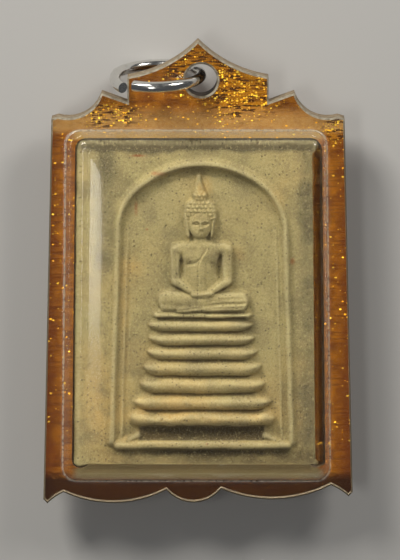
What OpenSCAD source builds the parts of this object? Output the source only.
// Votive tablet pendant: a pressed plaster tablet with a raised seated figure, sealed in a
// three-layer acrylic casing and hung from an open wire ring.
// Millimetres. It lies on its back: +X right, +Y towards the peak, +Z out of the face.

/* [Tablet] */
// Width of the tablet at its foot
tablet_w_bottom = 23.9; // [20:0.1:30]
// Width of the tablet at its head
tablet_w_top = 23.1; // [19:0.1:29]
// Height of the tablet
tablet_h = 31.9; // [26:0.1:40]
// Thickness of the tablet without its relief
tablet_t = 4.35; // [3.5:0.05:6]
// Corner radius of the tablet
tablet_corner_r = 0.7; // [0.3:0.1:2]
// Worn bevel along the tablet's edges
tablet_bevel = 0.35; // [0.1:0.05:0.8]

/* [Relief] */
// Border between the arch and the tablet's sides at the foot
border_side = 3.2; // [2.5:0.1:5]
// Border between the arch and the tablet's ends
border_end = 2.2; // [2:0.1:4]
// How far the relief stands right of the tablet's middle
relief_shift = 0.35; // [0:0.05:0.8]
// Highest point of the relief above the field
relief_h = 1.15; // [0.6:0.05:1.3]
// Width of the arch's raised line
arch_line_w = 0.62; // [0.3:0.02:1]
// Height of the arch's raised line
arch_line_h = 0.42; // [0.2:0.02:0.8]
// How far the arch's spring is set in from its foot, on each side
spring_inset = 0.62; // [0:0.02:1.2]
// Depth of the field inside the arch below the border
field_recess = 0.22; // [0.05:0.01:0.5]

/* [Casing] */
// Room between the tablet's sides and the opening round it
side_room = 0.2; // [0.15:0.05:0.6]
// Room between the tablet's ends and the opening round it
end_room = 0.2; // [0.15:0.05:0.8]
// How far the window's foot stands out over the opening's sides
side_lap = 0.85; // [0:0.05:1]
// How far the window's foot stands out over the opening's ends
end_lap = 1.0; // [0:0.05:1.1]
// Gap behind the tablet
seat_gap = 0.15; // [0.05:0.05:0.5]
// Width of the casing beside the window at the top
margin_top_side = 1.55; // [1:0.05:4]
// Width of the casing beside the window at the foot
margin_bottom_side = 2.05; // [1.8:0.05:5]
// Casing below the window, down to the foot tips
margin_foot = 2.25; // [2:0.05:6]
// Casing above the window, up to the top corners
margin_head = 1.25; // [0.8:0.05:4]
// How far the window sits left of the casing's middle
window_shift = 0.17; // [0:0.01:0.3]

/* [Sheets] */
// Thickness of the clear front sheet
front_t = 1.0; // [0.7:0.05:1.6]
// Thickness of the amber middle sheet
amber_t = 1.5; // [1:0.05:2.5]
// Thickness of the back sheet
back_t = 1.0; // [0.7:0.05:1.6]
// Gap between two sheets
glue_gap = 0.05; // [0.04:0.01:0.1]
// How high the clear window is raised over the front sheet
window_rise = 1.6; // [1.2:0.05:2.5]
// How far the window's walls lean in, from foot to top
window_draft = 1.1; // [0.8:0.05:1.4]
// How far the window's top stands right of its foot
window_skew = 0.3; // [0:0.05:0.5]
// Wall of the raised window
wall_t = 0.7; // [0.5:0.05:0.9]
// Thickness of the window over the tablet
window_t = 0.9; // [0.6:0.05:1.1]
// Wall of the back tray
tray_wall_t = 0.55; // [0.4:0.05:0.6]
// How far the back tray's walls lean in towards the back
tray_draft = 0.15; // [0:0.05:0.3]
// Corner radius of the window's foot
window_corner_r = 1.4; // [1.2:0.1:3]

/* [Crest] */
// Height of the peak above the top corners
crest_h = 7.35; // [6.5:0.05:12]
// Width of the gable between its notches
gable_w = 13.6; // [11:0.1:15]
// Drop from the peak to the gable's corners
gable_drop = 3.5; // [2.5:0.05:4.5]
// Depth of the notches below the gable's corners
notch_depth = 2.45; // [1.5:0.05:2.8]
// How far a side peak stands out from its notch
side_peak_out = 2.5; // [1.5:0.05:3.5]
// Height of a side peak above its notch
side_peak_rise = 0.9; // [0.5:0.05:1.5]
// Hollow of the gable's slopes
slope_sag = 0.62; // [0.2:0.02:1]
// Hollow of the shoulders
shoulder_sag = 1.0; // [0.4:0.05:1.3]
// Width of the small bump on each top corner
corner_bump_w = 0.65; // [0.4:0.05:1.2]
// Height of the small bump on each top corner
corner_bump_h = 0.2; // [0.1:0.02:0.4]

/* [Foot] */
// Height of the cusps above the left foot tip
cusp_h = 1.3; // [0.8:0.05:1.8]
// How much higher the right foot tip is than the left one
foot_slope = 0.7; // [0:0.05:1]
// How far a foot tip is cut back from the casing's side
tip_inset = 0.4; // [0.2:0.05:0.8]

/* [Ring] */
// Thickness of the ring's wire
wire_d = 1.05; // [0.7:0.05:1.2]
// How much wider than the wire its hole is
hole_play = 2.05; // [1.8:0.05:2.6]
// Distance of the hole's middle below the peak
hole_drop = 3.75; // [3.2:0.05:4.5]
// How far the hole is right of the middle
hole_shift = 0.3; // [0:0.05:0.6]
// Bevel around the hole
hole_bevel = 0.25; // [0.1:0.05:0.4]
// Clearance between the ring and the sheets that it goes round
ring_clear = 0.2; // [0.15:0.01:0.6]
// How far the ring's front leans towards the foot, in degrees
ring_lean = 9; // [0:0.5:10]
// How far the ring's free side turns towards the foot, in degrees
ring_turn = 1.5; // [0:0.5:6]
// Opening between the ring's two ends
ring_gap = 1.55; // [0.5:0.05:1.8]
// How far the back end of the wire is sprung to one side, in degrees
ring_spring = 8; // [0:0.5:8]

/* [Hidden] */
$fn = 60;
// Straight pieces in a round edge of the casing
arc_steps = 10;
// Overlap of cuts and of joined shapes
skin = 0.01;

// Plan sizes, worked out from the tablet outwards
opening_w_bottom = tablet_w_bottom + 2 * side_room;
opening_w_top = tablet_w_top + 2 * side_room;
opening_h = tablet_h + 2 * end_room;
window_w_bottom = opening_w_bottom + 2 * side_lap;
window_w_top = opening_w_top + 2 * side_lap;
window_h = opening_h + 2 * end_lap;
side_h = margin_foot + window_h + margin_head;
casing_w_bottom = window_w_bottom + 2 * margin_bottom_side;
casing_w_top = window_w_top + 2 * margin_top_side;
casing_len = side_h + crest_h;
foot_y = -casing_len / 2;
window_y = foot_y + margin_foot + window_h / 2;
arch_w = tablet_w_bottom - 2 * border_side;
arch_h = tablet_h - 2 * border_end;
arch_foot_y = window_y - arch_h / 2;

// Heights of the layers, from the surface upwards
tablet_z = back_t + seat_gap;
field_z = tablet_z + tablet_t;
amber_z = field_z - amber_t;
back_flange_z = amber_z - glue_gap - back_t;
front_z = field_z + glue_gap;
flange_top_z = front_z + front_t;
flange_mid_z = (back_flange_z + flange_top_z) / 2;
flange_t = flange_top_z - back_flange_z;
window_top_z = flange_top_z + window_rise;

// Crest heights
peak_y = foot_y + casing_len;
gable_y = peak_y - gable_drop;
notch_y = gable_y - notch_depth;
side_peak_y = notch_y + side_peak_rise;
corner_y = foot_y + side_h;

// Ring: its wire goes through the hole and clears the notch wall at the left
hole_d = wire_d + hole_play;
hole_x = hole_shift;
hole_y = peak_y - hole_drop;
// Share of the play by which the wire lies above the hole's middle
wire_lift = 0.17;
ring_span = gable_w / 2 + hole_x - wire_d / 2;
ring_inner_r = (ring_span ^ 2 + (flange_t / 2) ^ 2 - ring_clear ^ 2) / (2 * (ring_span - ring_clear));
ring_r = ring_inner_r + wire_d / 2;
gap_angle = 2 * asin(ring_gap / (2 * ring_r));
// Angles round the ring from its place in the hole, in degrees: the middle of its opening, the
// start of the sprung back end, and how far that end runs on into the rest
gap_at = 134;
bend_at = 198;
bend_lap = 2;

// Points of a round edge from a to just before b; a positive sag bulges right of the way from a to b
function arc(a, b, sag, n = arc_steps) =
    let (
        chord = norm(b - a),
        way = (b - a) / chord,
        side = [way[1], -way[0]],
        r = (chord ^ 2 / 4 + sag ^ 2) / (2 * abs(sag)),
        half = asin(chord / (2 * r)),
        bulge = sign(sag)
    )
    [for (i = [0 : n - 1])
        let (t = -half + 2 * half * i / n)
        (a + b) / 2 + way * r * sin(t) + side * bulge * (r * cos(t) - r + abs(sag))];

// Cusps of the foot, left to right.
// Columns: x as a share of half the casing's foot width, y as a share of cusp_h.
CUSPS = [
    [-0.870, 0.85],
    [-0.205, 1.00],
    [0.150, 1.08],
    [0.860, 1.38],
];
// Sag of the foot's edges between its tips and cusps, left to right, as shares of cusp_h
FOOT_SAGS = [-0.06, 0.90, 0.98, 0.92, -0.06];

function crest_side(s) = [
    [s * casing_w_top / 2, corner_y - corner_bump_h],
    [s * (casing_w_top / 2 - corner_bump_w), corner_y],
    [s * (gable_w / 2 + side_peak_out), side_peak_y],
    [s * gable_w / 2, notch_y],
    [s * gable_w / 2, gable_y],
];

// The casing's outline, once round from the left foot tip
function casing_outline() =
    let (
        half = casing_w_bottom / 2,
        left_tip = [-half + tip_inset, foot_y],
        right_tip = [half - tip_inset, foot_y + foot_slope],
        cusps = [for (row = CUSPS) [row[0] * half, foot_y + row[1] * cusp_h]],
        foot = concat([left_tip], cusps, [right_tip]),
        right = crest_side(1),
        left = crest_side(-1),
        peak = [0, peak_y]
    )
    concat(
        [for (i = [0 : len(foot) - 2]) each arc(foot[i], foot[i + 1], FOOT_SAGS[i] * cusp_h)],
        [right_tip, [half, foot_y + foot_slope + tip_inset]],
        [right[0]],
        arc(right[1], right[2], -shoulder_sag),
        [right[2], right[3]],
        arc(right[4], peak, -slope_sag),
        arc(peak, left[4], -slope_sag),
        [left[4], left[3]],
        arc(left[2], left[1], -shoulder_sag),
        [left[1], left[0]],
        [[-half, foot_y + tip_inset]]
    );

// A four-sided outline with round corners: widths at foot and head, height, corner radius
function round_quad(foot_w, head_w, h, r, n = 5) =
    let (
        corners = [
            [-foot_w / 2 + r, -h / 2 + r, 180],
            [foot_w / 2 - r, -h / 2 + r, 270],
            [head_w / 2 - r, h / 2 - r, 0],
            [-head_w / 2 + r, h / 2 - r, 90],
        ]
    )
    [for (c = corners, i = [0 : n])
        [c[0] + r * cos(c[2] + 90 * i / n), c[1] + r * sin(c[2] + 90 * i / n)]];

module layer(z, t) {
    translate([0, 0, z]) linear_extrude(t) children();
}

// The window's outline in plan, smaller on every side by inset and moved right by skew.
// Its corners get tighter by half the inset.
module window_plan(inset = 0, skew = 0) {
    translate([skew - window_shift, window_y])
        polygon(round_quad(window_w_bottom - 2 * inset, window_w_top - 2 * inset,
            window_h - 2 * inset, window_corner_r - inset / 2));
}

// The outline of the opening round the tablet, larger on every side by grow
module opening_plan(grow = 0) {
    translate([0, window_y])
        polygon(round_quad(opening_w_bottom + 2 * grow, opening_w_top + 2 * grow,
            opening_h + 2 * grow, tablet_corner_r + side_room + grow));
}

// A block with leaning sides, from its first outline at z0 to its second one at z1
module leaning_block(z0, z1) {
    hull() {
        layer(z0, skin) children(0);
        layer(z1 - skin, skin) children(1);
    }
}

module hole(z, t) {
    translate([hole_x, hole_y, z - skin]) cylinder(h = t + 2 * skin, d = hole_d);
}

// Bevel at one mouth of the hole, opening towards dir
module hole_mouth(z, dir) {
    translate([hole_x, hole_y, z])
        rotate([dir > 0 ? 180 : 0, 0, 0])
            translate([0, 0, -skin])
                cylinder(h = hole_bevel, d1 = hole_d + 2 * hole_bevel, d2 = hole_d);
}

// Seated figure, in round bars with ball ends.
// Columns: start x, start y, end x, end y, start radius, end radius as shares of arch_h from the
// middle of the arch's foot; height above the border as a share of relief_h.
FIGURE = [
    [-0.126, 0.500, 0.080, 0.480, 0.040, 0.026, 0.95],
    [0.126, 0.500, -0.080, 0.482, 0.040, 0.026, 0.98],
    [-0.145, 0.454, 0.145, 0.454, 0.012, 0.012, 0.40],
    [0.000, 0.560, 0.000, 0.665, 0.052, 0.066, 0.80],
    [-0.062, 0.690, 0.062, 0.690, 0.028, 0.028, 0.66],
    [-0.092, 0.672, -0.098, 0.585, 0.025, 0.020, 0.68],
    [0.092, 0.672, 0.098, 0.585, 0.025, 0.020, 0.68],
    [-0.090, 0.560, -0.014, 0.525, 0.020, 0.017, 0.92],
    [0.090, 0.560, 0.014, 0.522, 0.020, 0.017, 0.97],
    [-0.018, 0.520, 0.018, 0.520, 0.018, 0.018, 1.00],
    [0.012, 0.560, 0.012, 0.660, 0.013, 0.014, 0.92],
    [0.000, 0.705, 0.000, 0.735, 0.030, 0.030, 0.62],
    [0.000, 0.762, 0.000, 0.808, 0.036, 0.052, 1.00],
    [-0.056, 0.730, -0.056, 0.800, 0.010, 0.010, 0.55],
    [0.056, 0.730, 0.056, 0.800, 0.010, 0.010, 0.55],
    [0.000, 0.862, 0.000, 0.876, 0.026, 0.020, 0.78],
    [0.000, 0.890, 0.000, 0.945, 0.014, 0.004, 0.50],
    [0.000, 0.780, 0.000, 0.800, 0.008, 0.006, 1.10],
    [-0.024, 0.807, -0.010, 0.807, 0.006, 0.006, 1.02],
    [0.010, 0.807, 0.024, 0.807, 0.006, 0.006, 1.02],
    [-0.008, 0.765, 0.008, 0.765, 0.006, 0.006, 1.04],
];

// Seven stepped bars under the figure, top to bottom.
// Columns: length as a share of tier_w, height as a share of tiers_h, rise as a share of relief_h.
TIERS = [
    [0.70, 0.123, 0.72],
    [0.72, 0.123, 0.72],
    [0.75, 0.142, 0.74],
    [0.81, 0.151, 0.76],
    [0.86, 0.164, 0.80],
    [0.94, 0.157, 0.82],
    [1.00, 0.140, 0.95],
];
tier_w = 0.51 * arch_h;
tiers_top = 0.435 * arch_h;
tiers_h = 0.374 * arch_h;
tiers_bottom = tiers_top - tiers_h;
// Length of a bar's pointed end as a share of half its height
tier_tip = 1.6;
// Sunk slab under the bars, with flared ends
bed_w = 0.86 * tier_w;
bed_rise = 0.3 * relief_h;

function sum(list, i = 0) = i < len(list) ? list[i] + sum(list, i + 1) : 0;
function tier_top(i) = tiers_top - tiers_h * sum([for (k = [0 : 1 : i - 1]) TIERS[k][1]]);
function smooth(t) = let (c = min(1, max(0, t))) c * c * (3 - 2 * c);

// Arch line: three tangent round bends on two leaning legs, closed by a bar at the foot
arch_half = arch_w / 2 - spring_inset;
arch_top_r = 1.17 * arch_half;
arch_bend_r = 0.69 * arch_half;
arch_meet = asin((arch_half - arch_bend_r) / (arch_top_r - arch_bend_r));
arch_top_mid = [0, arch_h - arch_top_r];
arch_bend_mid = arch_top_mid + (arch_top_r - arch_bend_r) * [sin(arch_meet), cos(arch_meet)];

function leg_x(y) = arch_w / 2 - spring_inset * min(1, max(0, y / arch_bend_mid[1]));

// How far inside the arch line a point lies, in a frame at the middle of the arch's foot
function arch_depth(x, y) =
    let (p = [abs(x), y], up = p - arch_top_mid)
    y < arch_bend_mid[1] ? min(leg_x(y) - p[0], y)
    : atan2(up[0], up[1]) < arch_meet ? arch_top_r - norm(up)
    : arch_bend_r - norm(p - arch_bend_mid);

function bar_rise(row, p) =
    let (
        a = [row[0], row[1]] * arch_h,
        b = [row[2], row[3]] * arch_h,
        t = min(1, max(0, (p - a) * (b - a) / ((b - a) * (b - a)))),
        r = arch_h * (row[4] + (row[5] - row[4]) * t),
        d = norm(p - a - (b - a) * t)
    )
    d < r ? row[6] * relief_h - r + sqrt(r ^ 2 - d ^ 2) : -field_recess;

function tier_rise(i, x, y) =
    let (
        r = TIERS[i][1] * tiers_h / 2,
        off = (y - tier_top(i) + r) / r,
        past = (TIERS[i][0] * tier_w / 2 - abs(x)) / (tier_tip * r)
    )
    abs(off) >= 1 || past <= 0 ? -field_recess
    : TIERS[i][2] * relief_h * sqrt((1 - off ^ 2) * min(1, past));

function bed_rise_at(x, y) =
    let (flare = (tier_w - bed_w) / 2 * abs(2 * y / tiers_bottom - 1) ^ 2)
    y > 0 && y < tiers_bottom && abs(x) < bed_w / 2 + flare ? bed_rise : -field_recess;

// Height of the tablet's face over its border, in the arch's frame
function relief(x, y) =
    let (
        depth = arch_depth(x, y),
        across = abs(depth) / (arch_line_w / 2),
        line = across < 1 ? arch_line_h * sqrt(1 - across ^ 2) : -field_recess,
        field = -field_recess * smooth(depth / arch_line_w)
    )
    max(concat(
        [field, line, bed_rise_at(x, y)],
        [for (row = FIGURE) bar_rise(row, [x, y])],
        [for (i = [0 : len(TIERS) - 1]) tier_rise(i, x, y)]
    ));

// The face is a grid whose columns follow the arch's legs and close up towards the figure
inner_cols = 34;
upper_rows = 36;
tier_steps = [0, 0.2, 0.5, 0.8];
bed_rows = 4;

function plan_half(y) =
    let (
        past = max(0, abs(y) - tablet_h / 2 + tablet_corner_r),
        share = 0.5 + y / tablet_h
    )
    (tablet_w_bottom + (tablet_w_top - tablet_w_bottom) * share) / 2
        - tablet_corner_r + sqrt(tablet_corner_r ^ 2 - past ^ 2);

function row_xs(y) =
    let (
        e = plan_half(y - arch_h / 2),
        b = tablet_bevel,
        w = arch_line_w / 2,
        leg = leg_x(y),
        mid = relief_shift
    )
    concat(
        [-e, b - e, (b - e + mid - leg - w) / 2],
        [for (k = [-1 : 1]) mid - leg + k * w],
        [for (i = [1 : inner_cols - 1])
            let (t = 2 * i / inner_cols - 1)
            mid + (leg - w) * (t + t ^ 3) / 2],
        [for (k = [-1 : 1]) mid + leg + k * w],
        [(e - b + mid + leg + w) / 2, e - b, e]
    );

function row_ys() =
    let (end = (tablet_h - arch_h) / 2, b = tablet_bevel, w = arch_line_w / 2)
    concat(
        [-end, b - end, -end / 2],
        [-w, 0, w],
        [for (k = [1 : bed_rows - 1]) w + (tiers_bottom - w) * k / bed_rows],
        [for (i = [len(TIERS) - 1 : -1 : 0], step = tier_steps)
            tier_top(i) - (1 - step) * TIERS[i][1] * tiers_h],
        [for (k = [0 : upper_rows - 1]) tiers_top + (arch_h - w - tiers_top) * k / upper_rows],
        [arch_h - w, arch_h, arch_h + w],
        [arch_h + end / 2, arch_h + end - b, arch_h + end]
    );

// Faces of the flat back, over a rim of points that starts at the foot's left end
function back_faces(c, r, at) =
    let (left = function (j) at + (j == 0 ? 0 : 2 * c + 2 * r - j), right = function (j) at + c + j)
    concat(
        [for (k = [0 : c - 1]) [at + k, at + k + 1, left(1)]],
        [[right(0), right(1), left(1)]],
        [for (j = [1 : r - 2], half = [0, 1])
            half == 0 ? [left(j), right(j), right(j + 1)] : [left(j), right(j + 1), left(j + 1)]],
        [[left(r - 1), right(r - 1), right(r)]],
        [for (k = [c + r : 2 * c + r - 1]) [left(r - 1), at + k, at + k + 1]]
    );

module tablet_solid() {
    ys = row_ys();
    last_row = len(ys) - 1;
    cols = len(row_xs(0));
    last_col = cols - 1;
    face = [for (j = [0 : last_row])
        let (xs = row_xs(ys[j]))
        for (i = [0 : last_col])
            let (edge = i == 0 || j == 0 || i == last_col || j == last_row)
            [xs[i], ys[j], edge ? -tablet_bevel : relief(xs[i] - relief_shift, ys[j])]];
    rim = concat(
        [for (i = [0 : last_col]) i],
        [for (j = [1 : last_row]) j * cols + last_col],
        [for (i = [last_col - 1 : -1 : 0]) last_row * cols + i],
        [for (j = [last_row - 1 : -1 : 1]) j * cols]
    );
    n = len(rim);
    middle = [0, arch_h / 2];
    shrink = 1 - 2 * tablet_bevel / tablet_w_bottom;
    side = [for (k = rim) [face[k][0], face[k][1], tablet_bevel - tablet_t]];
    back = [for (k = rim)
        let (p = middle + ([face[k][0], face[k][1]] - middle) * shrink)
        [p[0], p[1], -tablet_t]];
    side_at = len(face);
    back_at = side_at + n;
    translate([0, arch_foot_y, field_z])
        polyhedron(concat(face, side, back), concat(
            [for (j = [0 : last_row - 1], i = [0 : last_col - 1], half = [0, 1])
                let (a = j * cols + i, b = a + 1, c = a + cols, d = c + 1)
                half == 0 ? [a, c, b] : [b, c, d]],
            [for (k = [0 : n - 1], half = [0, 1])
                let (m = (k + 1) % n)
                half == 0 ? [rim[k], rim[m], side_at + k] : [rim[m], side_at + m, side_at + k]],
            [for (k = [0 : n - 1], half = [0, 1])
                let (m = (k + 1) % n)
                half == 0 ? [side_at + k, side_at + m, back_at + k]
                    : [side_at + m, back_at + m, back_at + k]],
            back_faces(last_col, last_row, back_at)
        ));
}

module plaster_tablet() {
    color("tan") tablet_solid();
}

module front_sheet() {
    color("ivory", 0.4) difference() {
        union() {
            layer(front_z, front_t) polygon(casing_outline());
            leaning_block(flange_top_z - skin, window_top_z) {
                window_plan();
                window_plan(window_draft, window_skew);
            }
        }
        leaning_block(front_z - skin, window_top_z - window_t) {
            window_plan(wall_t);
            window_plan(wall_t + window_draft, window_skew);
        }
        hole(front_z, front_t);
        hole_mouth(flange_top_z, 1);
    }
}

module amber_frame() {
    color("darkorange") difference() {
        layer(amber_z, amber_t) polygon(casing_outline());
        layer(amber_z - skin, amber_t + 2 * skin) opening_plan();
        hole(amber_z, amber_t);
    }
}

module back_sheet() {
    color("orange", 0.6) difference() {
        union() {
            layer(back_flange_z, back_t) polygon(casing_outline());
            leaning_block(0, back_flange_z + skin) {
                opening_plan(tray_wall_t - tray_draft);
                opening_plan(tray_wall_t);
            }
        }
        leaning_block(back_t, back_flange_z + back_t + skin) {
            opening_plan();
            opening_plan(tray_draft / 2);
        }
        hole(back_flange_z, back_t);
        hole_mouth(back_flange_z, -1);
    }
}

// A stretch of the ring's wire between two angles, round Y in the ring's own frame
module ring_wire(from, to) {
    rotate([90, 0, 0])
        rotate([0, 0, from])
            rotate_extrude(angle = to - from) translate([ring_r, 0]) circle(d = wire_d);
}

module hanging_ring() {
    end_back = gap_at + gap_angle / 2;
    end_front = gap_at - gap_angle / 2 + 360;
    color("silver")
        translate([hole_x, hole_y + wire_lift * hole_play, flange_mid_z])
            rotate([ring_lean, 0, ring_turn])
                translate([-ring_r, 0, 0]) {
                    ring_wire(bend_at, end_front);
                    rotate([0, -bend_at, 0])
                        rotate([-ring_spring, 0, 0])
                            rotate([0, bend_at, 0]) ring_wire(end_back, bend_at + bend_lap);
                }
}

plaster_tablet();
front_sheet();
amber_frame();
back_sheet();
hanging_ring();
